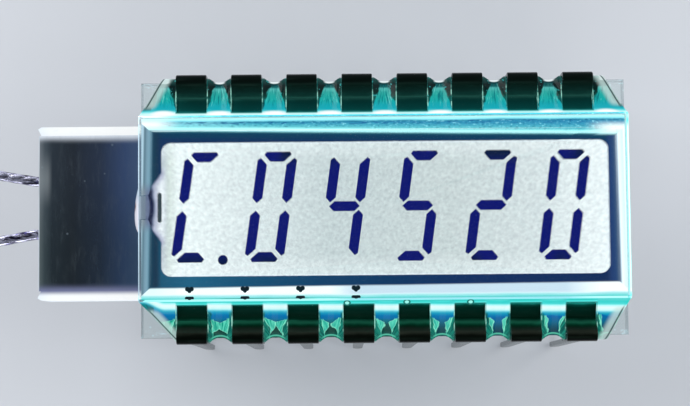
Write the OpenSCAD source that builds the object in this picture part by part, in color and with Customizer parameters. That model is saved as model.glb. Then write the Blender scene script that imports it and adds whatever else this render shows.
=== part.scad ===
// Six digit segment LCD with clip-on pins and an edge-lit backlight, in millimetres.
// X runs along the digits, Y points to their tops, Z is up out of the viewing face.
// The origin is the middle of the pin field, at the level of the leg tips.

/* [Digits] */
// Spacing of neighbouring digits
digit_pitch = 3.375; // [3.2:0.005:3.7]
// Height of a digit
digit_h = 5.08; // [4.4:0.02:5.6]
// Width of an upright digit, before it is slanted
digit_w = 1.82; // [1.6:0.02:1.9]
// Slant of the digits in degrees
digit_slant = 8; // [0:0.5:10]
// Width of a segment
segment_w = 0.46; // [0.3:0.02:0.5]
// Gap between neighbouring segments
segment_gap = 0.1; // [0.04:0.01:0.16]
// Cut across the outer corner of an upright or bar
segment_cut = 0.14; // [0.05:0.01:0.2]
// Shift of the row of digits along X in the cell
digits_shift = -0.12; // [-0.3:0.02:0]
// Rise of the row of digits above the middle of the cell
digits_rise = 0.1; // [-0.1:0.01:0.15]
// Diameter of the decimal point
point_d = 0.45; // [0.3:0.05:0.5]
// Distance of the decimal point from the middle of its digit
point_x = 1.49; // [1.42:0.01:1.55]

/* [Viewing area and polarizers] */
// Clear space at each end of the row of digits
view_side = 0.95; // [0.9:0.01:1.6]
// Clear space above and below the digits
view_head = 0.54; // [0.4:0.01:1]
// Corner radius of the viewing area
view_r = 0.45; // [0.1:0.05:0.8]
// Shift of the viewing area along X in the cell
view_shift = 0.07; // [-0.1:0.01:0.1]
// Overlap of the polarizers over the seal at each end
border_side = 0.32; // [0.2:0.01:0.5]
// Overlap of the polarizers over the seal above and below
border_head = 0.45; // [0.3:0.005:0.5]
// Thickness of each polarizer sheet
polarizer_t = 0.2; // [0.1:0.02:0.3]

/* [Glass cell] */
// Bare glass at each end, outside the polarizers
glass_side = 0.57; // [0.45:0.01:2]
// Bare front glass above and below the polarizers
glass_head = 0.72; // [0.72:0.005:1]
// Width of the contact ledges that the rear plate has outside the front plate
ledge_w = 1.65; // [1.5:0.01:1.8]
// Thickness of each plate
glass_t = 1.1; // [0.7:0.05:1.3]
// Space between the plates, drawn thicker than the real few microns so that it can be seen
cell_gap = 0.1; // [0.05:0.01:0.2]
// Bevel ground along the upper edges of the front plate
glass_bevel = 0.1; // [0.04:0.01:0.2]
// Shift of the glass cell along X from the middle of the pin field
cell_shift = -0.08; // [-0.3:0.02:0.3]

/* [Seal and fill port] */
// Distance from the front plate's edge to the outer edge of the seal
seal_setback = 0.06; // [0.04:0.01:0.1]
// Place of the fill port along the left edge
port_y = 0.1; // [-0.8:0.1:0.8]
// Width of the port's flared mouth at the viewing area
port_mouth = 3.2; // [2.6:0.1:4]
// Width of the port's straight throat
port_throat = 1.7; // [1.5:0.1:2.2]
// Width of the channel that leads from the throat to the glass edge
port_channel = 1.1; // [0.8:0.1:1.3]
// How far the mouth reaches out of the viewing area
port_depth = 0.48; // [0.3:0.02:0.5]
// Width of the island of seal that stands in the mouth
island_x = 0.19; // [0.1:0.01:0.24]
// Length of the island
island_y = 1.37; // [0.8:0.01:1.6]
// Distance of the island's middle outside the viewing area
island_out = 0.08; // [0.06:0.01:0.12]
// Length of the adhesive plug on the left glass edge
plug_y = 2.5; // [1.8:0.1:3]
// How far the plug bulges out of the edge
plug_bulge = 0.36; // [0.1:0.02:0.4]
// Height of the plug
plug_z = 1.5; // [0.8:0.1:1.7]
// How far the plug reaches in between the plates
plug_depth = 0.25; // [0.1:0.05:0.3]
// Clearance between the plug and the sides of the channel
plug_play = 0.05; // [0.02:0.01:0.1]

/* [Contact dots] */
// Diameter of each of the two lobes of a contact dot
dot_lobe_d = 0.22; // [0.12:0.02:0.22]
// Distance of the dots past the edge of the polarizer
dot_out = 0.13; // [0.08:0.01:0.2]
// Shift of the dots from the pins that they serve
dot_shift = -0.12; // [-0.4:0.02:0.4]

/* [Clip pins] */
// Spacing of neighbouring pins
pin_pitch = 2.54; // [2.4:0.01:2.6]
// Spacing of the two rows at the leg tips
row_pitch = 12.7; // [12.3:0.05:13.2]
// Thickness of the sheet metal
pin_t = 0.25; // [0.15:0.01:0.3]
// Width of the clip head
head_w = 1.42; // [1.2:0.02:1.6]
// Width of the leg
leg_w = 0.5; // [0.4:0.02:0.6]
// Length of the leg below the glass
leg_len = 10.2; // [6:0.1:14]
// Length of the tapered tip
tip_len = 0.7; // [0.3:0.1:1.5]
// Width of the leg at the end of its tip
tip_w = 0.24; // [0.15:0.01:0.35]
// Play between the clip's back and the glass edge
clip_play = 0.05; // [0.03:0.01:0.1]
// Clearance where the jaws press on the glass
touch = 0.01; // [0.005:0.005:0.03]
// Reach of the upper jaw in from the glass edge
jaw_reach = 1.5; // [1.2:0.05:1.5]
// Distance of the pressing crease from the glass edge
crease_in = 0.75; // [0.6:0.05:0.85]
// Height of the upper bend's corner above the ledge
crest_h = 1.1; // [0.9:0.05:1.2]
// Radius of the two tight bends at the clip's back, along the middle of the sheet
bend_r = 0.2; // [0.18:0.01:0.24]
// Radius of the creases that press on the glass, along the middle of the sheet
crease_r = 0.25; // [0.2:0.01:0.3]
// Lift of the upper jaw's end
jaw_lift = 0.3; // [0.15:0.05:0.4]
// Reach of the lower tongues in from the glass edge
tongue_reach = 1.2; // [1:0.05:1.4]
// Drop of the lower bend below the glass
tongue_drop = 0.6; // [0.5:0.05:0.8]
// Width of the slits between the leg and the lower tongues
slit_w = 0.06; // [0.04:0.01:0.1]

/* [Resin] */
// Height to which the resin climbs the front plate's edge, above the ledge
resin_climb = 1.02; // [0.8:0.02:1.1]
// Height of the resin over the pressing crease
resin_mid = 0.5; // [0.42:0.02:0.6]
// How far the resin stands out of the glass edge beside a clip
resin_out = 0.24; // [0.15:0.01:0.28]
// How far the resin runs down the glass edge
resin_down = 0.5; // [0.2:0.05:0.65]
// Radius of the scallop between two clips
scallop_r = 0.62; // [0.58:0.01:0.7]
// Radius of the dished surface between two clips
dish_r = 0.7; // [0.6:0.02:0.9]
// Length of resin past the last clip at the glass edge
resin_end = 0.45; // [0.2:0.05:0.7]
// Clearance between the resin and the clips set in it
resin_gap = 0.01; // [0.005:0.005:0.02]

/* [Backlight] */
// Distance of the light guide's long sides in from the front plate's edges
guide_head = 0.18; // [0:0.01:0.4]
// Thickness of the light guide
guide_t = 2.9; // [2.7:0.1:3.4]
// Length of the light guide that stands out past the glass, where the light source sits
guide_out = 4.85; // [4.6:0.05:6]
// Distance of the guide's far end from the other end of the glass
guide_short = 0.2; // [0:0.1:1]
// Reach of the two ears beside the guide's lead end
ear_x = 0.16; // [0.12:0.02:0.3]
// Thickness of the diffuser sheet
diffuser_t = 0.12; // [0.08:0.02:0.2]
// Thickness of the reflector and cover films
film_t = 0.1; // [0.05:0.01:0.15]
// Bare strip of light guide beside the dark cover film
film_side = 0.42; // [0.3:0.02:0.6]
// Place of the light source across the guide
led_y = 0.36; // [-0.6:0.02:0.6]
// Width of the light source
led_w = 5; // [4.4:0.1:5.2]
// Height of the light source
led_h = 2; // [1.6:0.1:2.2]
// Length of the light source
led_len = 4.2; // [3.6:0.1:4.3]
// Clearance round the light source
led_play = 0.05; // [0.02:0.01:0.1]

/* [Light source leads] */
// Spacing of the two leads where they come out
lead_pitch = 2.54; // [2.2:0.01:2.8]
// Width and height of the square leads
lead_w = 0.5; // [0.4:0.02:0.6]
// Length of a lead past the module
lead_len = 5.4; // [3:0.1:20]
// Outward spread of each lead in degrees
lead_spread = 10; // [0:1:20]
// Straight length before a lead bends outward
lead_straight = 0.5; // [0.4:0.1:1]

/* [Hidden] */
$fn = 48;

// Pins on each long side and digits in the row, as the names in NODES have them
side_pins = 8;
digit_count = 6;
// Segments that each digit shows, from left to right
shown = ["adef", "abcdef", "bcfg", "acdfg", "abdeg", "abcdef"];

// Overall sizes, from the digits outward
view_x = (digit_count - 1) * digit_pitch + digit_w + 2 * view_side;
view_y = digit_h + 2 * view_head;
polarizer_x = view_x + 2 * border_side;
polarizer_y = view_y + 2 * border_head;
cell_x = polarizer_x + 2 * glass_side;
front_glass_y = polarizer_y + 2 * glass_head;
rear_glass_y = front_glass_y + 2 * ledge_w;
guide_y = front_glass_y - 2 * guide_head;
film_y = guide_y - 2 * film_side;

// Levels, from the glass down and up
rear_z = leg_len;
ledge_z = rear_z + glass_t;
front_z = ledge_z + cell_gap;
front_top = front_z + glass_t;
rear_pol_z = rear_z - polarizer_t;
diffuser_z = rear_pol_z - diffuser_t;
guide_z = diffuser_z - guide_t;
led_mid_z = guide_z + guide_t / 2;

// Edges in plan
edge_x = cell_x / 2;
edge_y = rear_glass_y / 2;
step_y = front_glass_y / 2;
guide_left = cell_shift - edge_x - guide_out;
guide_right = cell_shift + edge_x - guide_short;

// Points of a clip in the plane across the row: distance out from the middle, height
back_u = edge_y + clip_play + pin_t / 2;
crease_u = edge_y - crease_in;
jaw_u = edge_y - jaw_reach;
tongue_u = edge_y - tongue_reach;
press_u = edge_y - tongue_reach / 2;
bend_steps = 7;

function unit(v) = v / norm(v);
function turned(v, a) = [v[0] * cos(a) - v[1] * sin(a), v[0] * sin(a) + v[1] * cos(a)];
// Quadratic curve from a to c that leaves and arrives towards the corner b
function corner_curve(a, b, c, n) =
    [for (k = [0:n]) let (t = k / n) a * (1 - t) * (1 - t) + b * 2 * t * (1 - t) + c * t * t];
// Middle of the arc of radius r that rounds the corner b between a and c
function bend_centre(a, b, c, r) =
    let (u = unit(a - b), v = unit(c - b), half = acos(u * v) / 2) b + unit(u + v) * r / sin(half);
// Points of that arc, n steps long
function bend_arc(a, b, c, r, n) =
    let (u = unit(a - b), v = unit(c - b), half = acos(u * v) / 2, m = bend_centre(a, b, c, r),
         start = b + u * r / tan(half) - m, way = u[0] * v[1] - u[1] * v[0] > 0 ? -1 : 1)
    [for (k = [0:n]) m + turned(start, way * (180 - 2 * half) * k / n)];
// Path through the corners p, with the bend radius r[i] at each inner corner
function bent(p, r, n) = concat(
    [p[0]],
    [for (i = [1:len(p) - 2]) for (q = bend_arc(p[i - 1], p[i], p[i + 1], r[i - 1], n)) q],
    [p[len(p) - 1]]);
function heading(q, i) = unit(q[min(i + 1, len(q) - 1)] - q[max(i - 1, 0)]);
function beside(q, s) = [for (i = [0:len(q) - 1]) let (h = heading(q, i)) q[i] + [-h[1], h[0]] * s];
function reversed(q) = [for (i = [len(q) - 1:-1:0]) q[i]];
// Outline of a strip of thickness t along the path q
function strip(q, t) = concat(beside(q, t / 2), reversed(beside(q, -t / 2)));
// Distance in height between a corner and the nearest point of its bend
function sag(a, b, c, r) = abs(bend_centre(a, b, c, r)[1] - b[1]) - r;

// Upper jaw, back and leg of a clip
crest_pt = [back_u, ledge_z + crest_h];
jaw_pt = [jaw_u, ledge_z + pin_t / 2 + jaw_lift];
crease_level = [crease_u, ledge_z + pin_t / 2 + touch];
crease_pt = crease_level - [0, sag(jaw_pt, crease_level, crest_pt, crease_r)];
knee_pt = [back_u, rear_z - tongue_drop];
leg_pt = [row_pitch / 2, 0];
// The same path serves the pin and, with the jaw's end moved out by more, its pocket in the resin
function head_path(more) = bent([jaw_pt + unit(jaw_pt - crease_pt) * more, crease_pt, crest_pt, knee_pt, leg_pt],
                                [crease_r, bend_r, 4 * bend_r], bend_steps);

// Lower tongue of a clip, which starts inside its back
tongue_top = [back_u, rear_z + 0.3];
tongue_knee = [back_u, rear_z - tongue_drop];
tongue_end = [tongue_u, rear_z - pin_t / 2 - jaw_lift];
press_level = [press_u, rear_z - pin_t / 2 - touch];
press_pt = press_level + [0, sag(tongue_knee, press_level, tongue_end, crease_r)];
tongue_path = bent([tongue_top, tongue_knee, press_pt, tongue_end], [bend_r, crease_r], bend_steps);

// Extrudes an outline drawn across the row to the width w about x = 0
module across(w) {
    rotate([90, 0, 90]) translate([0, 0, -w / 2]) linear_extrude(w) children();
}

// Seen from the side: the full head down to the slits, then the narrow leg and its tip
module pin_front() {
    rotate([90, 0, 0]) translate([0, 0, -2 * row_pitch]) linear_extrude(4 * row_pitch)
        polygon([[-head_w / 2, front_top + 2], [-head_w / 2, rear_z], [-leg_w / 2, rear_z],
                 [-leg_w / 2, tip_len], [-tip_w / 2, 0], [tip_w / 2, 0], [leg_w / 2, tip_len],
                 [leg_w / 2, rear_z], [head_w / 2, rear_z], [head_w / 2, front_top + 2]]);
}

// One stamped pin on the +Y side, centred on x = 0
module clip_pin() {
    tongue_w = (head_w - leg_w) / 2 - slit_w;
    intersection() {
        across(head_w) polygon(strip(head_path(0), pin_t));
        pin_front();
    }
    for (s = [-1, 1]) translate([s * (head_w - tongue_w) / 2, 0, 0])
        across(tongue_w) polygon(strip(tongue_path, pin_t));
}

// Pins 1 to 8 run left to right along the near side, 9 to 16 back along the far side
module pin(number) {
    near = number <= side_pins;
    column = near ? number - 1 : 2 * side_pins - number;
    color([0.10, 0.12, 0.11])
    translate([(column - (side_pins - 1) / 2) * pin_pitch, 0, 0])
        mirror([0, near ? 1 : 0, 0]) clip_pin();
}

// Space that a clip head takes in the resin
module clip_pocket() {
    across(head_w + 2 * resin_gap) polygon(strip(head_path(resin_gap), pin_t + 2 * resin_gap));
}

// Resin surface across the ledge: up the front plate, over the crease, down the glass edge
resin_profile = concat(
    [[step_y, ledge_z]],
    corner_curve([step_y, ledge_z + resin_climb], [step_y + 0.25, ledge_z + resin_mid + 0.06],
                 [crease_u, ledge_z + resin_mid], 6),
    corner_curve([edge_y - 0.2, ledge_z + resin_mid - 0.1], [edge_y + resin_out, ledge_z + resin_mid - 0.2],
                 [edge_y + resin_out, ledge_z - resin_down / 3], 5),
    [[edge_y, ledge_z - resin_down], [edge_y, ledge_z]]);

module resin_bead() {
    last_clip = (side_pins - 1) / 2 * pin_pitch + head_w / 2;
    color([0.05, 0.62, 0.60, 0.8])
    difference() {
        intersection() {
            translate([cell_shift, 0, 0]) across(cell_x) polygon(resin_profile);
            translate([0, 0, rear_z]) linear_extrude(front_top - rear_z)
                polygon([[cell_shift - edge_x, step_y], [cell_shift + edge_x, step_y],
                         [last_clip + resin_end, edge_y + resin_out + 0.1],
                         [-last_clip - resin_end, edge_y + resin_out + 0.1]]);
        }
        for (i = [0:side_pins - 1]) translate([(i - (side_pins - 1) / 2) * pin_pitch, 0, 0]) clip_pocket();
        for (i = [1:side_pins - 1]) translate([(i - side_pins / 2) * pin_pitch, 0, 0]) {
            translate([0, edge_y - 0.02 + scallop_r, rear_z - 1]) cylinder(r = scallop_r, h = glass_t + 3);
            translate([0, step_y + 0.35, ledge_z + resin_mid + 0.06 + dish_r])
                rotate([-90 - 19, 0, 0]) translate([0, 0, -0.2]) cylinder(r = dish_r, h = rear_glass_y / 2);
        }
    }
}
module resin_top() { resin_bead(); }
module resin_bottom() { mirror([0, 1, 0]) resin_bead(); }

module plate(x, y, z, t) {
    translate([cell_shift - x / 2, -y / 2, z]) cube([x, y, t]);
}
module rear_glass() {
    color([0.80, 0.90, 0.90, 0.5]) plate(cell_x, rear_glass_y, rear_z, glass_t);
}
module front_glass() {
    color([0.82, 0.92, 0.92, 0.5]) difference() {
        plate(cell_x, front_glass_y, front_z, glass_t);
        for (s = [-1, 1]) translate([cell_shift, s * step_y, front_top])
            rotate([45, 0, 0]) cube([cell_x + 1, glass_bevel * sqrt(2), glass_bevel * sqrt(2)], center = true);
    }
}

// Outline of the viewing area with its round corners
module view_outline() {
    translate([view_shift, 0]) {
        square([view_x - 2 * view_r, view_y], center = true);
        square([view_x, view_y - 2 * view_r], center = true);
        for (sx = [-1, 1], sy = [-1, 1])
            translate([sx * (view_x / 2 - view_r), sy * (view_y / 2 - view_r)]) circle(r = view_r);
    }
}
// The port flares in to the viewing area and runs straight out to the glass edge
module port_outline() {
    vx = view_x / 2 - view_shift;
    half = concat(
        corner_curve([-vx, port_mouth / 2], [-vx - port_depth * 0.9, port_throat / 2 + 0.3],
                     [-vx - port_depth, port_throat / 2], 5),
        [[-vx - port_depth - 0.08, port_channel / 2 + 0.05], [-edge_x, port_channel / 2]]);
    translate([0, port_y]) polygon(concat(
        [[-vx + 0.1, port_mouth / 2]], half,
        reversed([for (p = half) [p[0], -p[1]]]), [[-vx + 0.1, -port_mouth / 2]]));
}
module island_outline() {
    translate([view_shift - view_x / 2 - island_out, port_y]) {
        square([island_x, island_y - island_x], center = true);
        for (s = [-1, 1]) translate([0, s * (island_y - island_x) / 2]) circle(d = island_x);
    }
}
module perimeter_seal() {
    color([0.10, 0.22, 0.36]) translate([cell_shift, 0, ledge_z]) linear_extrude(cell_gap) {
        difference() {
            square([cell_x - 2 * seal_setback, front_glass_y - 2 * seal_setback], center = true);
            view_outline();
            port_outline();
            translate([-cell_shift, 0]) dots_outline();
        }
        island_outline();
    }
}
// Adhesive that closes the port: a pillow on the glass edge with a tongue in the gap
module end_seal() {
    plug_r = (plug_y * plug_y / 4 + plug_bulge * plug_bulge) / (2 * plug_bulge);
    side_r = (plug_z * plug_z / 4 + plug_bulge * plug_bulge) / (2 * plug_bulge);
    color([0.55, 0.42, 0.30]) {
        translate([cell_shift - edge_x, port_y, ledge_z + cell_gap / 2]) intersection() {
            translate([plug_r - plug_bulge, 0, -plug_z]) cylinder(r = plug_r, h = 2 * plug_z, $fn = 96);
            translate([side_r - plug_bulge, 0, 0]) rotate([90, 0, 0])
                cylinder(r = side_r, h = 2 * plug_y, center = true, $fn = 96);
            translate([-1, -plug_y, -plug_z]) cube([1, 2 * plug_y, 2 * plug_z]);
        }
        translate([cell_shift - edge_x - plug_bulge / 4, port_y - port_channel / 2 + plug_play, ledge_z])
            cube([plug_depth + plug_bulge / 4, port_channel - 2 * plug_play, cell_gap]);
    }
}
module liquid_crystal() {
    color([0.80, 0.87, 0.86]) translate([cell_shift, 0, ledge_z]) linear_extrude(cell_gap) difference() {
        union() {
            view_outline();
            port_outline();
        }
        island_outline();
        for (i = [1:digit_count]) digit_outline(i);
        point_outline();
        translate([-edge_x - 1, port_y - port_throat / 2]) square([1 + plug_depth, port_throat]);
    }
}
module front_polarizer() {
    color([0.78, 0.84, 0.85, 0.6]) plate(polarizer_x, polarizer_y, front_top, polarizer_t);
}
module rear_polarizer() {
    color([0.60, 0.66, 0.68]) plate(polarizer_x, polarizer_y, rear_pol_z, polarizer_t);
}

// Segments of an upright digit about its middle; slant_digit leans them
hw = digit_w / 2;
hh = digit_h / 2;
sw = segment_w;
gap_u = segment_gap * sqrt(2);
// Top bar; the bottom bar is its mirror image
bar = [[-hw + segment_cut + gap_u + 0.09, hh], [-hw + segment_cut + gap_u, hh - segment_cut], [-hw + sw + gap_u, hh - sw],
       [hw - sw - gap_u, hh - sw], [hw - segment_cut - gap_u, hh - segment_cut], [hw - segment_cut - gap_u - 0.09, hh]];
// Upper left upright; the other three are its mirror images
mid_gap = segment_gap * 1.7;
upright = [[-hw + segment_cut, hh - segment_cut - gap_u], [-hw + sw, hh - sw - gap_u], [-hw + sw, mid_gap + sw / 2],
           [-hw + sw / 2, mid_gap], [-hw, mid_gap + sw / 2], [-hw, hh - segment_cut - gap_u - 0.1]];
mid_u = hw - sw / 2 + mid_gap - gap_u;
middle = [[-mid_u, 0], [-mid_u + sw / 2, sw / 2], [mid_u - sw / 2, sw / 2],
          [mid_u, 0], [mid_u - sw / 2, -sw / 2], [-mid_u + sw / 2, -sw / 2]];
function placed(name, p) =
    name == "a" ? p : name == "d" ? [p[0], -p[1]] :
    name == "f" ? p : name == "b" ? [-p[0], p[1]] :
    name == "e" ? [p[0], -p[1]] : name == "c" ? [-p[0], -p[1]] : p;
function segment(name) = let (s = name == "g" ? middle : (name == "a" || name == "d") ? bar : upright)
    [for (p = s) let (q = placed(name, p)) [q[0] + q[1] * tan(digit_slant), q[1]]];
function digit_x(i) = digits_shift + (i - (digit_count + 1) / 2) * digit_pitch;
module digit_outline(i) {
    translate([digit_x(i), digits_rise]) for (name = shown[i - 1]) polygon(segment(name));
}
module point_outline() {
    y = -hh + point_d / 4;
    translate([digit_x(1) + point_x + y * tan(digit_slant), y + digits_rise]) circle(d = point_d);
}
module digit(i) {
    color([0.08, 0.10, 0.36]) translate([cell_shift, 0, ledge_z]) linear_extrude(cell_gap) digit_outline(i);
}
module decimal_point() {
    color([0.08, 0.10, 0.36]) translate([cell_shift, 0, ledge_z]) linear_extrude(cell_gap) point_outline();
}

dot_y = polarizer_y / 2 + dot_out;
// Conductive dots that carry the front plate's electrodes down to pins 1 to 4
module dots_outline() {
    for (i = [0:3]) translate([(i - (side_pins - 1) / 2) * pin_pitch + dot_shift, -dot_y]) {
        for (s = [-1, 1]) translate([s * dot_lobe_d * 0.42, 0]) circle(d = dot_lobe_d);
        translate([0, -dot_lobe_d * 0.45]) circle(d = dot_lobe_d * 0.8);
        translate([0, -dot_lobe_d * 1.9]) {
            square([dot_lobe_d * 1.2, dot_lobe_d * 0.7], center = true);
            for (s = [-1, 1]) translate([s * dot_lobe_d * 0.6, 0]) circle(d = dot_lobe_d * 0.7);
        }
    }
}
module transfer_dots() {
    color([0.05, 0.12, 0.12]) translate([0, 0, ledge_z]) linear_extrude(cell_gap) dots_outline();
}

// Moulded light guide: a flat plate with a pocket for the light source in its lead end
module light_guide() {
    color([0.90, 0.97, 1.0]) difference() {
        union() {
            translate([guide_left, -guide_y / 2, guide_z])
                cube([guide_right - guide_left, guide_y, guide_t]);
            translate([0, 0, guide_z]) linear_extrude(guide_t) for (s = [-1, 1])
                polygon([[guide_left, s * film_y / 2], [guide_left - ear_x, s * (guide_y / 2 - 0.1)],
                         [guide_left, s * guide_y / 2], [guide_left + 0.5, s * film_y / 2]]);
        }
        translate([guide_left - 1, led_y - led_w / 2 - led_play, led_mid_z - led_h / 2 - led_play])
            cube([led_len + led_play + 1, led_w + 2 * led_play, led_h + 2 * led_play]);
    }
}
module diffuser_film() {
    color([0.94, 0.97, 1.0]) plate(polarizer_x, polarizer_y, diffuser_z, diffuser_t);
}
module reflector_film() {
    color([0.85, 0.87, 0.90]) translate([guide_left, -film_y / 2, guide_z - film_t])
        cube([guide_right - guide_left, film_y, film_t]);
}
// Dark film over the lead end, folded down behind the light source
module cover_film() {
    color([0.16, 0.20, 0.28]) difference() {
        union() {
            translate([guide_left - film_t, -film_y / 2, diffuser_z])
                cube([cell_shift - polarizer_x / 2 - guide_left, film_y, film_t]);
            translate([guide_left - film_t, -film_y / 2, guide_z])
                cube([film_t, film_y, guide_t + film_t]);
        }
        for (s = [-1, 1]) translate([guide_left - film_t - 1, led_y + s * lead_pitch / 2 - lead_w / 2 - led_play,
                                     led_mid_z - lead_w / 2 - led_play])
            cube([film_t + 2, lead_w + 2 * led_play, lead_w + 2 * led_play]);
    }
}
lead_in = 1.2;
module lead(s) {
    from = guide_left + lead_in;
    turn = guide_left - lead_straight;
    end = [turn - (lead_len - lead_straight) * cos(lead_spread), s * (lead_len - lead_straight) * sin(lead_spread)];
    translate([0, led_y + s * lead_pitch / 2, led_mid_z - lead_w / 2]) linear_extrude(lead_w)
        polygon(strip(bent([[from, 0], [turn, 0], end], [lead_w], 4), lead_w));
}
module led_body() {
    color([0.92, 0.95, 0.98]) difference() {
        translate([guide_left, led_y - led_w / 2, led_mid_z - led_h / 2]) cube([led_len, led_w, led_h]);
        for (s = [-1, 1]) lead(s);
    }
}
module led_lead_anode() { color([0.62, 0.64, 0.72]) lead(1); }
module led_lead_cathode() { color([0.62, 0.64, 0.72]) lead(-1); }

rear_glass();
front_glass();
perimeter_seal();
end_seal();
liquid_crystal();
front_polarizer();
rear_polarizer();
digit(1);  // digit_1
digit(2);  // digit_2
digit(3);  // digit_3
digit(4);  // digit_4
digit(5);  // digit_5
digit(6);  // digit_6
decimal_point();
transfer_dots();
pin(1);  // pin_01
pin(2);  // pin_02
pin(3);  // pin_03
pin(4);  // pin_04
pin(5);  // pin_05
pin(6);  // pin_06
pin(7);  // pin_07
pin(8);  // pin_08
pin(9);  // pin_09
pin(10);  // pin_10
pin(11);  // pin_11
pin(12);  // pin_12
pin(13);  // pin_13
pin(14);  // pin_14
pin(15);  // pin_15
pin(16);  // pin_16
resin_top();
resin_bottom();
light_guide();
diffuser_film();
reflector_film();
cover_film();
led_body();
led_lead_anode();
led_lead_cathode();
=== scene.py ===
import math

import bpy
import numpy as np
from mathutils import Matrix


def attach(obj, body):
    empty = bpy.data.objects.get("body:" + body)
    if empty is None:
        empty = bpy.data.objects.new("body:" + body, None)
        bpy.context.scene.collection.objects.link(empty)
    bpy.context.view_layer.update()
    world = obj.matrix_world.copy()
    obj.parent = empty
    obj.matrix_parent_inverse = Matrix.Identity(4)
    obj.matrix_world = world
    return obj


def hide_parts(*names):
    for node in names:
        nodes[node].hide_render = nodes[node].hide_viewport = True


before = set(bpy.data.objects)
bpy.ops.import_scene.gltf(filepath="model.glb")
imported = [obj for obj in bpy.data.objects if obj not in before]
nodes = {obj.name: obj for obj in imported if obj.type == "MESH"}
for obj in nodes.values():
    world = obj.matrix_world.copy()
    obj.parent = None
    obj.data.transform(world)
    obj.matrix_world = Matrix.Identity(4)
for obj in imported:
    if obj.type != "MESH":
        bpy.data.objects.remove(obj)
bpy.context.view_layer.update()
print("frame loaded:", len(nodes), "pieces")

mm = 0.001
scene = bpy.context.scene

# camera over the near edge of the display, looking almost straight down
view = {
    "place": (-1.851, -6.207, 95.526),     # mm, from the middle of the pin field
    "turn": (4.394, 0.043, -0.496),        # degrees about x, y and z
    "lens": 95.48,
}
cameraData = bpy.data.cameras.new("camera")
cameraData.lens = view["lens"]
cameraData.sensor_width = 36
cameraData.sensor_fit = "HORIZONTAL"
cameraData.clip_start = 0.002
camera = bpy.data.objects.new("camera", cameraData)
camera.location = [v * mm for v in view["place"]]
camera.rotation_euler = [math.radians(v) for v in view["turn"]]
scene.collection.objects.link(camera)
scene.camera = camera
print("camera placed")

plateShift = 0.08      # mm that the plates and sheets lie left of the middle of the pins
portMid = 0.1          # mm, where the fill port lies along the left edge
# the sheets over and under the seal lie a little askew: mm across for each mm along
askew = {"top": 0.0152, "low": 0.007, "left": 0.018, "right": 0.0136, "clips": 0.0085,
         "farBead": 0.004, "nearBead": 0.012}


# colours are written 0 to 255 as they are seen, and turned into the linear ones that nodes take
def screenColour(red, green, blue):
    parts = [v / 255 for v in (red, green, blue)]
    return [v / 12.92 if v <= 0.04045 else ((v + 0.055) / 1.055) ** 2.4 for v in parts] + [1.0]


class Reading:
    # what a node gives out; readings are added and multiplied like numbers, by maths nodes
    def __init__(self, socket):
        self.socket = socket

    def __add__(self, other):
        return sums("ADD", self, other)

    def __radd__(self, other):
        return sums("ADD", other, self)

    def __sub__(self, other):
        return sums("SUBTRACT", self, other)

    def __rsub__(self, other):
        return sums("SUBTRACT", other, self)

    def __mul__(self, other):
        return sums("MULTIPLY", self, other)

    def __rmul__(self, other):
        return sums("MULTIPLY", other, self)

    def __truediv__(self, other):
        return sums("DIVIDE", self, other)

    def __pow__(self, other):
        return sums("POWER", self, other)

    def __abs__(self):
        return sums("ABSOLUTE", self)


def newNode(kind, *values):
    # a node beside the first reading among the values
    reading = next(value for value in values if isinstance(value, Reading))
    return reading.socket.id_data.nodes.new(kind)


def feed(socket, value):
    # a reading is linked, three numbers are a colour as seen, anything else is set as it is
    if isinstance(value, Reading):
        socket.id_data.links.new(value.socket, socket)
    elif isinstance(value, tuple) and len(value) == 3:
        socket.default_value = screenColour(*value)
    else:
        socket.default_value = value


def sums(operation, *values):
    node = newNode("ShaderNodeMath", *values)
    node.operation = operation
    for socket, value in zip(node.inputs, values):
        feed(socket, value)
    return Reading(node.outputs[0])


def larger(first, second):
    return sums("MAXIMUM", first, second)


def root(value):
    return sums("SQRT", value)


def newFinish(name):
    material = bpy.data.materials.new(name)
    material.use_nodes = True
    return material, material.node_tree, material.node_tree.nodes["Principled BSDF"]


def setSockets(shader, values):
    for socketName, value in values.items():
        shader.inputs[socketName].default_value = value


def millimetres(tree, centre=(0, 0, 0), stretch=(1, 1, 1)):
    # object coordinates in mm about a point, stretched along the axes
    coords = tree.nodes.new("ShaderNodeTexCoord")
    mapping = tree.nodes.new("ShaderNodeMapping")
    mapping.inputs["Scale"].default_value = [1000 * s for s in stretch]
    mapping.inputs["Location"].default_value = [-c * s for c, s in zip(centre, stretch)]
    tree.links.new(coords.outputs["Object"], mapping.inputs["Vector"])
    return Reading(mapping.outputs["Vector"])


def axes(vector):
    split = newNode("ShaderNodeSeparateXYZ", vector)
    feed(split.inputs[0], vector)
    return [Reading(socket) for socket in split.outputs]


def ease(value, low, high, start=0.0, end=1.0):
    # start below low, end above high, an S curve between
    node = newNode("ShaderNodeMapRange", value)
    node.interpolation_type = "SMOOTHSTEP"
    for socket, v in zip(node.inputs[:5], (value, low, high, start, end)):
        feed(socket, v)
    return Reading(node.outputs[0])


def bump(value, middle, width):
    # 1 at middle, falling to 0 at width to either side
    return ease(abs(value - middle), 0, width, 1, 0)


def noise(vector, scale, detail=3, roughness=0.55, distortion=0.0):
    node = newNode("ShaderNodeTexNoise", vector)
    feed(node.inputs["Vector"], vector)
    setSockets(node, {"Scale": scale, "Detail": detail, "Roughness": roughness,
                      "Distortion": distortion})
    return Reading(node.outputs["Fac"])


def speckle(vector, scale, size):
    # dots about the centres of a cell pattern, 1 in a dot
    node = newNode("ShaderNodeTexVoronoi", vector)
    feed(node.inputs["Vector"], vector)
    node.inputs["Scale"].default_value = scale
    return ease(Reading(node.outputs["Distance"]), size * 0.6, size, 1, 0)


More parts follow.
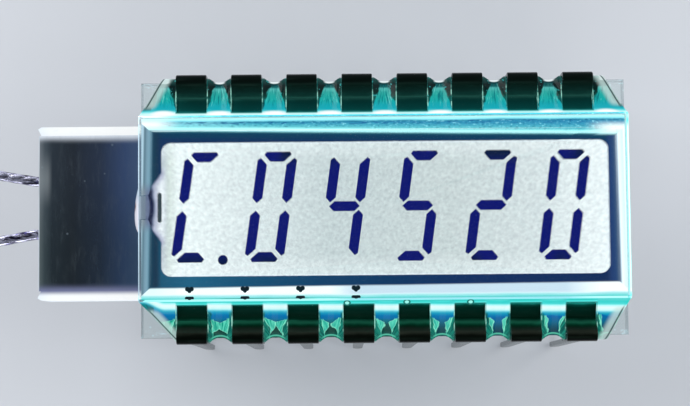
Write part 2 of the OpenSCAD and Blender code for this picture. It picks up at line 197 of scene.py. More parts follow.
def blendOf(factor, first, second, way="MIX"):
    node = newNode("ShaderNodeMix", factor, first, second)
    node.data_type = "RGBA"
    node.blend_type = way
    feed(node.inputs["Factor"], factor)
    feed(node.inputs["A"], first)
    feed(node.inputs["B"], second)
    return Reading(node.outputs["Result"])


def bandsOf(value, stops):
    # colours at places along a value; places in mm between the first and the last stop
    low, high = stops[0][0], stops[-1][0]
    node = newNode("ShaderNodeValToRGB", value)
    feed(node.inputs[0], (value - low) / (high - low))
    ramp = node.color_ramp
    while len(ramp.elements) < len(stops):
        ramp.elements.new(0.5)
    for element, (place, colour) in zip(ramp.elements, stops):
        element.position = (place - low) / (high - low)
    for element, (place, colour) in zip(ramp.elements, stops):
        element.color = screenColour(*colour)
    return Reading(node.outputs[0])


def paint(shader, colour, glow, strength=1.0):
    # shares a colour between what the surface reflects and a painted glow that it gives off
    feed(shader.inputs["Base Color"], blendOf(1.0, colour, [1 - glow] * 3 + [1], "MULTIPLY"))
    feed(shader.inputs["Emission Color"], blendOf(1.0, colour, [glow] * 3 + [1], "MULTIPLY"))
    shader.inputs["Emission Strength"].default_value = strength


def relief(shader, height, depth):
    node = newNode("ShaderNodeBump", height)
    node.inputs["Distance"].default_value = depth * mm
    node.inputs["Strength"].default_value = 1.0
    feed(node.inputs["Height"], height)
    shader.id_data.links.new(node.outputs[0], shader.inputs["Normal"])


def dress(names, material):
    for name in names:
        nodes[name].material_slots[0].material = material


# finishes of the pieces that keep their CAD shapes
viewingArea = {
    "left": (243, 252, 253),
    "middle": (205, 217, 219),
    "right": (243, 251, 253),
    "outerRows": (242, 250, 252),
    "line": (240, 249, 255),     # just inside the border
    "grain": 2.6,
    "mottle": 0.14,
}
lightField, tree, shader = newFinish("backlit display area")
place = millimetres(tree)
x, y, z = axes(place)
field = bandsOf(x, [(-10.31, (196, 207, 217)), (-10.15, (204, 215, 219)), (-9.95, (220, 232, 229)),
                    (-9.5, viewingArea["left"]), (-6.5, (226, 236, 238)),
                    (-2.5, viewingArea["middle"]), (3, (208, 219, 220)), (7.2, (220, 230, 232)),
                    (10.0, viewingArea["right"]), (10.3, (240, 249, 252))])
brighter = ease(abs(y), 2.0, 2.9) * 0.4
field = blendOf(brighter, field, viewingArea["outerRows"])
# inside the fill port the tone follows the distance from the edge of its flare
portHalf = abs(y - portMid)
portIn = x + 10.79 - ease(portHalf, 0.75, 1.65, 0.0, 0.48)
portIn = portIn + (ease(portHalf, 0.15, 0.6, 0.0, 0.07) + ease(portHalf, 0.75, 1.05, 0.0, 0.13))
portTone = bandsOf(portIn, [(-0.6, (150, 164, 176)), (-0.36, (122, 134, 154)),
                            (-0.06, (110, 122, 154)), (-0.02, (50, 58, 92)), (0.02, (22, 32, 68)),
                            (0.08, (26, 35, 70)), (0.14, (92, 102, 130)), (0.18, (135, 145, 172)),
                            (0.24, (184, 190, 212)), (0.34, (202, 208, 223)),
                            (0.46, (226, 232, 240)), (0.58, (240, 247, 252))])
portZone = ease(x, -10.02, -10.28) * ease(portHalf, 1.95, 1.55)
field = blendOf(portZone, field, portTone)
# a thin bright line runs just inside the border, except on the left
corner = root(larger(abs(x + 0.01) - 9.85, 0.0) ** 2.0 + larger(abs(y) - 2.63, 0.0) ** 2.0)
border = ease(corner, 0.37, 0.41) * ease(x, -10.1, -9.7)
field = blendOf(border * 0.7, field, viewingArea["line"])
grain = noise(place, 5.6, 3, 0.7)
mottle = noise(place, 0.9, 2, 0.5)
shade = (grain - 0.5) * viewingArea["grain"] + (mottle - 0.5) * viewingArea["mottle"]
field = blendOf(0.5 + shade, blendOf(1.0, field, (0.86, 0.87, 0.88, 1), "MULTIPLY"),
                blendOf(1.0, field, (1.18, 1.17, 1.16, 1), "MULTIPLY"))
paint(shader, field, 0.86)
setSockets(shader, {"Roughness": 0.45, "Specular IOR Level": 0.2})

segmentInk = {"face": (12, 24, 122), "end": (8, 32, 62), "fleck": (52, 66, 180)}
inkFinish, tree, shader = newFinish("driven liquid crystal")
place = millimetres(tree)
x, y, z = axes(place)
patch = noise(place, 0.55, 2, 0.5)
outer = ease(abs(y), 1.7, 2.75)
ink = blendOf(outer * ease(patch, 0.38, 0.6), segmentInk["face"], segmentInk["end"])
ink = blendOf(ease(noise(place, 3.6, 3, 0.6), 0.62, 0.85), ink, segmentInk["fleck"])
paint(shader, ink, 0.75)
setSockets(shader, {"Roughness": 0.4, "Specular IOR Level": 0.15})

# the seal carries painted light of the backlight: the dark frame inside the polarizer's edge and
# the glowing bands outside it
sealBands = {
    "haze": (178, 246, 252), "speckle": (150, 228, 240), "shadow": (24, 104, 138),
    "patch": (22, 96, 152), "corner": (248, 255, 255), "lip": (6, 132, 130), "island": (54, 68, 74),
}
sealFinish, tree, shader = newFinish("edge seal with painted glow")
place = millimetres(tree)
x, y, z = axes(place)
streaks = noise(millimetres(tree, stretch=(1.1, 5, 1)), 1.6, 4, 0.7, 0.8)
wander = (noise(millimetres(tree, stretch=(0.5, 1, 1)), 0.9, 2) - 0.5) * 0.12
# the dark frame ends on slanting lines
topEdge = y + x * askew["top"] + wander * 0.3
lowEdge = x * askew["low"] - (y + wander * 0.3)
# far side, from the dark frame through the bright line to the blue band
topBand = bandsOf(topEdge, [(3.1, (18, 50, 90)), (3.22, (13, 58, 91)), (3.34, (11, 60, 90)),
                            (3.42, (20, 74, 98)), (3.46, (60, 118, 134)), (3.495, (122, 182, 190)),
                            (3.53, (178, 238, 242)), (3.59, (192, 254, 253)),
                            (3.64, (160, 238, 240)), (3.7, (102, 198, 208)), (3.8, (80, 178, 198)),
                            (3.92, (60, 156, 188)), (4.05, (52, 146, 184))])
topOuter = bandsOf(y + wander, [(3.96, (46, 138, 174)), (4.01, (62, 154, 180)),
                                (4.06, (131, 219, 232)), (4.11, (170, 245, 251)),
                                (4.16, (182, 235, 239)), (4.2, (206, 246, 248))])
topBand = blendOf(ease(y + wander, 3.9, 3.98), topBand, topOuter)
inBlue = ease(y, 4.06, 4.0) * ease(topEdge, 3.62, 3.72)
topBand = blendOf(inBlue * ease(x, -5.5, -9.5, 0.0, 0.42), topBand, sealBands["haze"])
topBand = blendOf(inBlue * ease(y, 3.78, 3.96) * ease(streaks, 0.5, 0.38, 0.0, 0.85), topBand,
                  sealBands["patch"])
fine = noise(millimetres(tree, stretch=(1, 1.6, 1)), 6.5, 2, 0.6)
topBand = blendOf(inBlue * ease(fine, 0.56, 0.68) * ease(streaks, 0.42, 0.6, 0.15, 0.9), topBand,
                  sealBands["speckle"])
topBand = blendOf(inBlue * ease(fine, 0.44, 0.34) * 0.5, topBand, sealBands["shadow"])
beyond = abs(x + plateShift)
# painted light: a white glow towards each end of the far band
wedge = ease(beyond, 9.2, 10.6) * bump(topEdge, 3.77, 0.38)
topBand = blendOf(wedge, topBand, sealBands["corner"])
# near side: the frame and the white band differ from left to right
lowFrame = bandsOf(x, [(-10.6, (30, 84, 112)), (-9.0, (32, 96, 128)), (-6.4, (22, 80, 114)),
                       (-3.0, (18, 64, 102)), (0.0, (13, 55, 96)), (4.0, (16, 46, 93)),
                       (10.6, (18, 44, 88))])
lowWhite = bandsOf(x, [(-10.6, (228, 248, 250)), (-9.5, (244, 254, 254)), (-2.6, (244, 252, 253)),
                       (-1.4, (200, 220, 233)), (8.2, (202, 221, 234)), (9.8, (248, 254, 255))])
lowBand = blendOf(ease(lowEdge, 3.49, 3.6), lowFrame, lowWhite)
lowOuter = bandsOf(wander - y, [(3.92, (226, 244, 248)), (4.0, (172, 230, 232)),
                                (4.06, (140, 222, 222)), (4.12, (108, 216, 214)),
                                (4.2, (72, 213, 206))])
lowBand = blendOf(ease(wander - y, 3.88, 3.98), lowBand, lowOuter)
# towards the middle a dark, wavering lip follows the turquoise band
lip = ease(x, -8.0, -7.2) * ease(x, -3.1, -3.9)
lowBand = blendOf(lip * ease(wander - y, 4.07, 4.15), lowBand, sealBands["lip"])
sealTone = blendOf(ease(y, -0.4, 0.4), lowBand, topBand)
# left and right sides, read across
leftAcross = x - y * askew["left"]
leftTone = bandsOf(leftAcross, [(-11.22, (176, 204, 220)), (-11.18, (176, 204, 220)),
                                (-11.14, (118, 148, 163)), (-11.09, (96, 126, 142)),
                                (-11.02, (120, 152, 170)), (-10.93, (127, 162, 180)),
                                (-10.87, (118, 156, 175)), (-10.82, (90, 128, 148)),
                                (-10.78, (56, 96, 116)), (-10.73, (28, 66, 88)),
                                (-10.6, (24, 56, 80)), (-10.4, (30, 54, 76))])
portGrey = bandsOf(x, [(-11.25, (156, 170, 180)), (-11.1, (128, 142, 154)),
                       (-10.95, (112, 126, 152)), (-10.84, (108, 120, 152)), (-10.78, (34, 52, 88)),
                       (-10.7, (22, 56, 82))])
leftTone = blendOf(ease(abs(y - portMid), 1.25, 0.6), leftTone, portGrey)
rightAcross = x + y * askew["right"]
rightTone = bandsOf(rightAcross, [(10.2, (44, 68, 114)), (10.35, (34, 62, 112)),
                                  (10.5, (40, 70, 116)), (10.6, (56, 84, 120)),
                                  (10.66, (86, 108, 136)), (10.7, (150, 168, 188)),
                                  (10.75, (226, 241, 249)), (10.8, (242, 254, 255)),
                                  (10.9, (226, 243, 248)), (10.96, (220, 238, 243)),
                                  (11.04, (246, 254, 254))])
leftTone = blendOf(ease(x, -1, 1), leftTone, rightTone)
flare = 0.9 * larger(beyond - 10.7, 0.0)
inSide = (ease(beyond, 10.18, 10.5) * ease(topEdge - flare, 3.4, 3.46, 1, 0)
          * ease(lowEdge - flare, 3.46, 3.52, 1, 0))
sealTone = blendOf(inSide, sealTone, leftTone)
# the seal's island in the middle of the port
island = ease(abs(x + 10.39), 0.1, 0.13, 1, 0) * ease(abs(y - portMid), 0.69, 0.71, 1, 0)
sealTone = blendOf(island, sealTone, sealBands["island"])
paint(shader, sealTone, 0.85, 1.2)
setSockets(shader, {"Roughness": 0.5, "Specular IOR Level": 0.2})

# clear plates; the light that runs along inside them comes out at their long edges
glassEdges = {"line": (74, 218, 212), "near": (58, 214, 204), "left": (216, 230, 244),
              "rear": (150, 196, 206)}
plateGlass, tree, shader = newFinish("front plate glass")
place = millimetres(tree)
x, y, z = axes(place)
rim = ease(abs(y), 4.15, 4.2)
rim = rim * ease(y, -1, 1, 0.22, 1.0)
sideRim = larger(ease(x, 11.0, 11.08), ease(x, -11.2, -11.25, 0.0, 0.3))
rim = larger(rim, sideRim)
rim = rim * ease(z, 11.6, 12.3, 0.35, 1.0)
rim = rim * ease(noise(millimetres(tree, stretch=(0.6, 3, 3)), 1.2, 3), 0.2, 0.6, 0.72, 1.0)
rimTone = blendOf(ease(y, -3.9, -4.05) * ease(x, 11.0, 10.7), glassEdges["line"],
                  glassEdges["near"])
rimTone = blendOf(ease(x, -11.0, -11.15), rimTone, glassEdges["left"])
feed(shader.inputs["Emission Color"], blendOf(rim, (0, 0, 0, 1), rimTone))
# painted light: the plate is tinted turquoise along its near edge, so what shows through there
# takes the colour of the light along that edge
nearEdgeLightTint = blendOf(ease(y, -4.1, -4.14), (0.93, 0.99, 0.99, 1), (0.2, 0.78, 0.75, 1))
feed(shader.inputs["Base Color"], nearEdgeLightTint)
setSockets(shader, {"Transmission Weight": 1.0, "IOR": 1.5, "Roughness": 0.02,
                    "Emission Strength": 0.85, "Specular IOR Level": 0.35})

rearGlass, tree, shader = newFinish("rear plate glass")
place = millimetres(tree)
x, y, z = axes(place)
rim = larger(ease(abs(y), 5.86, 5.89), ease(abs(x + plateShift), 11.12, 11.17))
# chips and scratches near the long edges, painted as specks that glow with the light they catch
flecks = (ease(noise(millimetres(tree, stretch=(1, 2, 1)), 3.4, 3, 0.6), 0.56, 0.68)
          * ease(abs(y), 5.45, 5.75))
scuffGlints = larger(speckle(place, 2.6, 0.14), flecks) * 0.35
feed(shader.inputs["Emission Color"], blendOf(scuffGlints, (0, 0, 0, 1), glassEdges["rear"]))
feed(shader.inputs["Base Color"], blendOf(rim, (0.9, 0.98, 0.97, 1), (0.55, 0.62, 0.63, 1)))
setSockets(shader, {"Transmission Weight": 1.0, "IOR": 1.5, "Roughness": 0.04,
                    "Emission Strength": 0.8, "Specular IOR Level": 0.4})

# front sheet: nearly clear, with light caught along its cut edge
polarizerFilm = {"tint": (0.95, 0.97, 0.98, 1), "edge": (196, 244, 250), "leftEdge": (70, 130, 144)}
sheetFinish, tree, shader = newFinish("polarizer film")
place = millimetres(tree)
x, y, z = axes(place)
sheetEdge = larger(ease(y, 3.505, 3.52, 0.0, 0.5),
                   ease(abs(x + plateShift), 10.6, 10.615, 0.0, 0.3))
sheetEdge = sheetEdge * ease(x, -10.64, -10.6, 0.15, 1.0)
sheetEdge = sheetEdge * ease(x, 11, -6, 0.25, 1.0)
edgeTone = blendOf(ease(x, -10.66, -10.64), polarizerFilm["leftEdge"], polarizerFilm["edge"])
feed(shader.inputs["Emission Color"], blendOf(sheetEdge, (0, 0, 0, 1), edgeTone))
haze = ease(noise(place, 5, 3), 0.3, 0.9, 0.0008, 0.003)
feed(shader.inputs["Alpha"], larger(sheetEdge * 0.8, haze))
setSockets(shader, {"Base Color": polarizerFilm["tint"], "Roughness": 0.12,
                    "Emission Strength": 0.9, "Specular IOR Level": 0.5})

contactDots = {"dark": (10, 34, 44), "light": (22, 60, 74)}
dotFinish, tree, shader = newFinish("conductive dots")
place = millimetres(tree)
dotTone = blendOf(noise(place, 6, 3), contactDots["dark"], contactDots["light"])
paint(shader, dotTone, 0.4)
setSockets(shader, {"Roughness": 0.5, "Specular IOR Level": 0.2})

# backlight: a glowing moulding between a bright diffuser, a mirror foil and the dark cover film
guideLight = {
    "lit": (253, 255, 255), "below": (168, 190, 212), "cloud": (196, 214, 232),
    "leak": (118, 124, 160),
}
guideFinish, tree, shader = newFinish("glowing light guide")
place = millimetres(tree)
x, y, z = axes(place)
guideTone = bandsOf(x, [(-16.3, (236, 246, 255)), (-15.6, (250, 254, 255)),
                        (-11, guideLight["lit"]), (-6, (214, 240, 250)), (11, (186, 226, 240))])
guideTone = blendOf(ease(z, 7.0, 9.2, 0.55, 0.0), guideTone, guideLight["below"])
cloud = ease(noise(place, 2.4, 4, 0.6), 0.5, 0.8) * 0.12
guideTone = blendOf(cloud, guideTone, guideLight["cloud"])
# light that leaks past the film's near edge is dimmer
leak = ease(y, -3.9, -3.6) * ease(y, -3.5, -3.55) * ease(x, -10.9, -11.0)
guideTone = blendOf(leak, guideTone, guideLight["leak"])
paint(shader, guideTone, 0.72)
setSockets(shader, {"Roughness": 0.22, "Specular IOR Level": 0.5, "Coat Weight": 0.3,
                    "Coat Roughness": 0.08})

diffuserSheet = {"shade": (206, 222, 232), "light": (238, 247, 252)}
diffuserFinish, tree, shader = newFinish("diffuser sheet")
place = millimetres(tree)
diffTone = blendOf(noise(place, 7, 2), diffuserSheet["shade"], diffuserSheet["light"])
paint(shader, diffTone, 0.6)
setSockets(shader, {"Roughness": 0.6, "Specular IOR Level": 0.3})

mirrorFoil = {"shade": (196, 200, 206), "light": (232, 236, 240)}
foilFinish, tree, shader = newFinish("mirror foil")
place = millimetres(tree)
foilTone = blendOf(ease(noise(millimetres(tree, stretch=(0.3, 2, 1)), 2.2, 4), 0.3, 0.75),
                   mirrorFoil["shade"], mirrorFoil["light"])
feed(shader.inputs["Base Color"], foilTone)
setSockets(shader, {"Metallic": 0.9, "Roughness": 0.24})
relief(shader, noise(place, 1.6, 3), 0.03)

coverFilm = {
    "dark": (31, 38, 47), "nearRim": (112, 118, 152), "farRim": (214, 222, 232),
    "endRimLight": (196, 206, 216), "worn": (138, 146, 150), "dust": (120, 134, 146),
    "smear": (88, 98, 104),
}
coverFinish, tree, shader = newFinish("dark cover film")
place = millimetres(tree)
x, y, z = axes(place)
coverTone = bandsOf(x, [(-16.22, (104, 112, 118)), (-15.95, (64, 74, 82)), (-15.6, (38, 47, 56)),
                        (-14.6, coverFilm["dark"]), (-13.3, (36, 47, 66)), (-12.2, (50, 68, 102)),
                        (-11.6, (60, 80, 112)), (-11.35, (96, 118, 144)), (-10.6, (110, 134, 156))])
# painted reflection: the film turns darker towards its near side
lower = ease(y, -2.4, 2.6, 0.0, 1.0)
coverTone = blendOf(lower, blendOf(1.0, coverTone, (0.62, 0.7, 0.66, 1), "MULTIPLY"), coverTone)
# light from the guide creeps over the film's long edges
unevenOut = abs(y) + noise(millimetres(tree, stretch=(0.4, 1, 1)), 0.9, 2) * 0.12
rimGlow = ease(unevenOut, 3.2, 3.74) ** 2.2
longRims = blendOf(ease(y, -1, 1), coverFilm["nearRim"], coverFilm["farRim"])
coverTone = blendOf(rimGlow, coverTone, longRims)
# painted light: the bright tone of the folded end's rim, laid over the whole end face
coverTone = blendOf(ease(x, -16.17, -16.2), coverTone, coverFilm["endRimLight"])
patch = ease(x, -15.55, -15.85) * bump(y, 1.6, 1.5)
coverTone = blendOf(patch * 0.45, coverTone, coverFilm["worn"])
coverTone = blendOf(speckle(place, 1.05, 0.07) * 0.3, coverTone, coverFilm["dust"])
smear = ease(noise(millimetres(tree, stretch=(3, 0.6, 1)), 1.2, 4, 0.7), 0.45, 0.8) * 0.16
coverTone = blendOf(smear, coverTone, coverFilm["smear"])
paint(shader, coverTone, 0.45)
setSockets(shader, {"Roughness": 0.14, "Specular IOR Level": 0.35, "Coat Weight": 0.25,
                    "Coat Roughness": 0.06})

sourceBody = {"shade": (214, 228, 240), "light": (246, 252, 255)}
bodyFinish, tree, shader = newFinish("light source body")
place = millimetres(tree)
bodyTone = blendOf(noise(place, 2.2, 2), sourceBody["shade"], sourceBody["light"])
paint(shader, bodyTone, 0.5)
setSockets(shader, {"Roughness": 0.25, "Coat Weight": 0.4, "Coat Roughness": 0.1})

dress(["liquid_crystal"], lightField)
dress(["digit_%d" % n for n in range(1, 7)] + ["decimal_point"], inkFinish)
dress(["perimeter_seal"], sealFinish)
dress(["front_glass"], plateGlass)
dress(["rear_glass"], rearGlass)
dress(["front_polarizer"], sheetFinish)
dress(["rear_polarizer", "diffuser_film"], diffuserFinish)
dress(["transfer_dots"], dotFinish)
dress(["light_guide"], guideFinish)
dress(["reflector_film"], foilFinish)
dress(["cover_film"], coverFinish)
dress(["led_body"], bodyFinish)
print("finishes laid on the pieces that keep their CAD shapes")


# surfaces worked out on grids
def solidFromRings(name, rings, material, sharp=40):
    # rows of closed rings, xyz in mm: neighbours are joined by four-sided faces, and the first and
    # the last ring are closed by triangles to their own middle
    rows, columns = rings.shape[:2]
    middles = [rings[0].mean(0)[None], rings[-1].mean(0)[None]]
    points = np.concatenate([rings.reshape(-1, 3)] + middles) * mm
    row = np.arange(rows - 1)[:, None] * columns
    here = np.arange(columns)[None, :]
    after = (here + 1) % columns
    quads = np.stack([row + here, row + after, row + columns + after, row + columns + here], -1)
    quads = quads.reshape(-1, 4)
    last = (rows - 1) * columns
    starts = np.stack([np.full(columns, rows * columns), after[0], here[0]], -1)
    ends = np.stack([np.full(columns, rows * columns + 1), last + here[0], last + after[0]], -1)
    # six times the volume that the faces enclose says which way they point
    triangles = np.concatenate([quads[:, :3], quads[:, [0, 2, 3]], starts, ends])
    a, b, c = (points[triangles[:, k]] for k in range(3))
    if np.einsum("ij,ij->", a, np.cross(b, c)) < 0:
        quads, starts, ends = quads[:, ::-1], starts[:, ::-1], ends[:, ::-1]
    mesh = bpy.data.meshes.new(name)
    mesh.from_pydata(points.tolist(), [], quads.tolist() + starts.tolist() + ends.tolist())
    mesh.polygons.foreach_set("use_smooth", np.ones(len(mesh.polygons), bool))
    mesh.set_sharp_from_angle(angle=math.radians(sharp))
    mesh.update()
    piece = bpy.data.objects.new(name, mesh)
    piece.data.materials.append(material)
    scene.collection.objects.link(piece)
    return piece


def joined(name, parts):
    # several closed shells kept as one piece
    with bpy.context.temp_override(active_object=parts[0], object=parts[0],
                                   selected_editable_objects=parts):
        bpy.ops.object.join()
    parts[0].name = name
    return parts[0]


def unit(v):
    # a direction of length 1
    return v / np.linalg.norm(v)


def bentPath(corners, radii, steps=10):
    # straight runs between the corners, each inner corner rounded by an arc of its radius: the
    # arc's middle lies on the corner's halving line, the radius over the half angle's sine away
    corners = [np.array(c, float) for c in corners]
    points = [corners[0]]
    for before, corner, behind, radius in zip(corners, corners[1:], corners[2:], radii):
        u, v = unit(before - corner), unit(behind - corner)
        half = math.acos(np.clip(u @ v, -1, 1)) / 2
        middle = corner + unit(u + v) * radius / math.sin(half)
        start = corner + u * radius / math.tan(half) - middle
        way = -1 if u[0] * v[1] - u[1] * v[0] > 0 else 1
        angles = way * (math.pi - 2 * half) * np.linspace(0, 1, steps + 1)
        c, s = np.cos(angles), np.sin(angles)
        arc = np.stack([start[0] * c - start[1] * s, start[0] * s + start[1] * c], -1)
        points += list(middle + arc)
    return np.array(points + [corners[-1]])


def headings(path):
    # the direction at each point: the step between its neighbours, brought to length 1
    steps = np.gradient(path, axis=0)
    return steps / np.linalg.norm(steps, axis=1)[:, None]


def stripRings(path, widths, thickness, radius):
    # a rounded rectangle of each width, carried along a path in the plane across the row
    turn = np.linspace(0, 2 * math.pi, 20, endpoint=False) + math.pi / 20
    c, s = np.cos(turn), np.sin(turn)
    a = np.sign(c) * (widths[:, None] / 2 - radius) + c * radius
    b = np.sign(s) * (thickness / 2 - radius) + s * radius
    h = headings(path)
    side = np.stack([-h[:, 1], h[:, 0]], -1)
    flat = path[:, None, :] + side[:, None, :] * b[None, :, None]
    return np.stack([a, flat[..., 0], flat[..., 1]], -1)


# clip pins: stamped strip, rounded at its edges, bent over both faces of the rear plate
clip = {
    "pitch": 2.54, "row": 12.7, "sheet": 0.245, "edgeRound": 0.05,
    "headWide": 1.40, "legWide": 0.5, "tipWide": 0.24, "tipLong": 0.7,
    "glassBack": 5.9, "play": 0.05, "jaw": 1.5, "crease": 0.75, "lift": 0.3, "crest": 1.1,
    "rearLevel": 10.2, "ledgeLevel": 11.3, "neck": 10.17, "drop": 0.6,
    "tongue": 1.2, "tongueWide": 0.4,
    "creaseRadius": 0.25, "bendRadius": 0.2,
    "leg": (96, 104, 104),
}


def lift(a, b, c, radius):
    # how far in height the arc at b stays short of that corner
    u, v = unit(np.array(a) - b), unit(np.array(c) - b)
    half = math.acos(np.clip(u @ v, -1, 1)) / 2
    middle = np.array(b) + unit(u + v) * radius / math.sin(half)
    return abs(middle[1] - b[1]) - radius


clipMetal, tree, shader = newFinish("tinned strip with painted reflections")
place = millimetres(tree)
x, y, z = axes(place)
out = abs(y)
ripple = (noise(place, 1.6, 2) - 0.5) * 0.12
# painted reflections across the heads: teal light of the resin by the jaw end, a highlight along
# the crease, dark and brownish bands of darker surroundings further out
farHeadReflections = bandsOf(out + ripple, [(4.36, (60, 186, 180)), (4.44, (16, 96, 92)), (4.52, (5, 62, 60)),
                                  (4.65, (4, 54, 52)), (4.9, (4, 46, 44)), (5.02, (8, 50, 46)),
                                  (5.1, (24, 66, 60)), (5.16, (27, 69, 62)), (5.24, (14, 50, 45)),
                                  (5.4, (10, 36, 33)), (5.6, (7, 24, 20)), (5.75, (8, 20, 17)),
                                  (5.9, (10, 18, 16)), (6.1, (14, 20, 20))])
# the near row's painted highlight and reflection bands lie further out towards the right, as the
# plate does
nearOut = out + ripple - 0.14 - x * askew["clips"]
nearHeadReflections = bandsOf(nearOut, [(4.22, (20, 120, 110)), (4.32, (0, 50, 42)), (4.42, (0, 28, 22)),
                              (4.8, (3, 22, 15)), (4.93, (0, 24, 15)), (5.0, (7, 50, 38)),
                              (5.07, (22, 80, 62)), (5.13, (23, 82, 63)), (5.2, (8, 58, 42)),
                              (5.26, (2, 38, 24)), (5.32, (10, 30, 21)), (5.42, (24, 31, 26)),
                              (5.55, (33, 39, 33)), (5.62, (26, 31, 26)), (5.7, (10, 15, 11)),
                              (5.9, (4, 8, 6))])
stripAndReflections = blendOf(ease(y, -1, 1), nearHeadReflections, farHeadReflections)
# the heads glow a little with the light that the resin throws on them, the legs don't
headGlow = ease(z, 10.8, 11.2, 0.0, 0.72)
feed(shader.inputs["Emission Color"], blendOf(1.0, stripAndReflections, headGlow, "MULTIPLY"))
shader.inputs["Emission Strength"].default_value = 1.0
stripAndReflections = blendOf(1.0, stripAndReflections, (0.4, 0.4, 0.4, 1), "MULTIPLY")
stripAndReflections = blendOf(ease(z, 11.6, 9.8), stripAndReflections, clip["leg"])
brushed = ease(noise(millimetres(tree, stretch=(0.6, 4, 4)), 1.4, 4, 0.7), 0.4, 0.8) * 0.35
lighter = blendOf(1.0, stripAndReflections, (0.004, 0.008, 0.006, 1), "ADD")
stripAndReflections = blendOf(brushed, stripAndReflections, lighter)
feed(shader.inputs["Base Color"], stripAndReflections)
setSockets(shader, {"Metallic": 1.0, "Roughness": 0.26})
relief(shader, noise(millimetres(tree, stretch=(0.5, 3, 3)), 2.4, 3), 0.008)

# the path is the middle of the strip, as distance out and height
halfSheet = clip["sheet"] / 2
back = clip["glassBack"] + clip["play"] + halfSheet
crest = (back, clip["ledgeLevel"] + clip["crest"])
jawEnd = (clip["glassBack"] - clip["jaw"], clip["ledgeLevel"] + halfSheet + clip["lift"])
creaseAt = (clip["glassBack"] - clip["crease"], clip["ledgeLevel"] + halfSheet + 0.01)
creasePoint = (creaseAt[0], creaseAt[1] - lift(jawEnd, creaseAt, crest, clip["creaseRadius"]))
knee = (back, clip["rearLevel"] - clip["drop"])
headPath = bentPath([jawEnd, creasePoint, crest, knee, (clip["row"] / 2, 0.0)],
                    [clip["creaseRadius"], clip["bendRadius"], 4 * clip["bendRadius"]])
# past the crest the path only goes down, so its distance out can be read off by height
over = int(np.argmax(headPath[:, 1])) + 1
down = headPath[over:]
kept = [clip["tipLong"], 2, 4, 6, 8, clip["neck"], clip["rearLevel"], clip["rearLevel"] + 0.2]
heights = np.unique(np.concatenate([down[:, 1], kept]))[::-1]
down = np.stack([np.interp(heights, down[::-1, 1], down[::-1, 0]), heights], -1)
headPath = np.concatenate([headPath[:over], down])
headWidths = np.full(len(headPath), clip["headWide"])
headWidths[over:] = np.interp(down[:, 1], [0, clip["tipLong"], clip["neck"], clip["rearLevel"]],
                              [clip["tipWide"], clip["legWide"], clip["legWide"], clip["headWide"]])
headRings = stripRings(headPath, headWidths, clip["sheet"], clip["edgeRound"])

# two tongues beside the leg press on the rear plate from below
pressAt = (clip["glassBack"] - clip["tongue"] / 2, clip["rearLevel"] - halfSheet - 0.01)
tongueEnd = (clip["glassBack"] - clip["tongue"], clip["rearLevel"] - halfSheet - clip["lift"])
pressPoint = (pressAt[0], pressAt[1] + lift(knee, pressAt, tongueEnd, clip["creaseRadius"]))
tonguePath = bentPath([(back, clip["rearLevel"] + 0.3), knee, pressPoint, tongueEnd],
                      [clip["bendRadius"], clip["creaseRadius"]])
tongueRings = stripRings(tonguePath, np.full(len(tonguePath), clip["tongueWide"]),
                         clip["sheet"] - 0.01, clip["edgeRound"])

# pins 1 to 8 stand in the near row from the left, 9 to 16 in the far row from the right
for number in range(1, 17):
    near = number <= 8
    column = number - 1 if near else 16 - number
    shift = np.array([(column - 3.5) * clip["pitch"], 0, 0])
    way = np.array([1, -1 if near else 1, 1])
    aside = np.array([(clip["headWide"] - clip["tongueWide"]) / 2, 0, 0])
    # no point of the tip goes under height 0
    shells = [solidFromRings("shell", np.maximum(headRings, [-9, 0, 0]) * way + shift, clipMetal)]
    for side in (-1, 1):
        tongueAt = (tongueRings + side * aside) * way + shift
        shells.append(solidFromRings("shell", tongueAt, clipMetal))
    piece = joined("clip_%02d" % number, shells)
    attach(piece, "root")
    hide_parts("pin_%02d" % number)
print("clip pins bent")


# resin: a bead in the step between the plates, dished and scalloped between the clips
bead = {
    "stepOut": 4.25, "glassOut": 5.9, "ledge": 11.3, "climb": 1.02, "overCrease": 0.5,
    "creaseOut": 5.15, "standOut": 0.22, "runDown": 0.5, "hair": 0.004,
    "scallop": 0.62, "dish": 0.7, "grooveTop": 0.56, "grooveFall": 19,
    "left": -11.26, "right": 11.1, "outerEnd": 10.03, "lastSide": 9.62,
    "lean": {1: 0.55, -1: 0.92},     # of the left end: far bead, near bead
    "samples": 900, "sharp": 55,
    "bubbles": [(-1.8, -4.36), (0.92, -4.34), (3.82, -4.36)],
}
resinTints = {
    "rayDark": (2, 112, 120), "rayLight": (112, 220, 212), "lightPool": (255, 255, 255),
    "glint": (60, 190, 190), "scallopLine": (10, 60, 66), "crescent": (236, 246, 248),
    "sideDark": (4, 84, 78), "sideLight": (26, 136, 118),
    "wingLeft": (14, 156, 134), "wingRight": (44, 176, 160), "wingLight": (90, 214, 186),
    "wingLine": (140, 242, 210), "nearLip": (84, 196, 166), "farFringe": (16, 110, 104),
    "bubbleRing": (6, 112, 104), "bubbleHighlight": (160, 252, 240),
    "climbGlint": (176, 246, 226), "endPale": (196, 220, 216), "endLine": (30, 52, 58),
}
resinFinish, tree, shader = newFinish("teal resin with painted glow")
place = millimetres(tree)
x, y, z = axes(place)
out = abs(y)
gapCount = x / clip["pitch"] + 20.5
aside = (sums("FRACT", gapCount) - 0.5) * clip["pitch"]     # from the middle of the gap
fromMid = abs(aside)
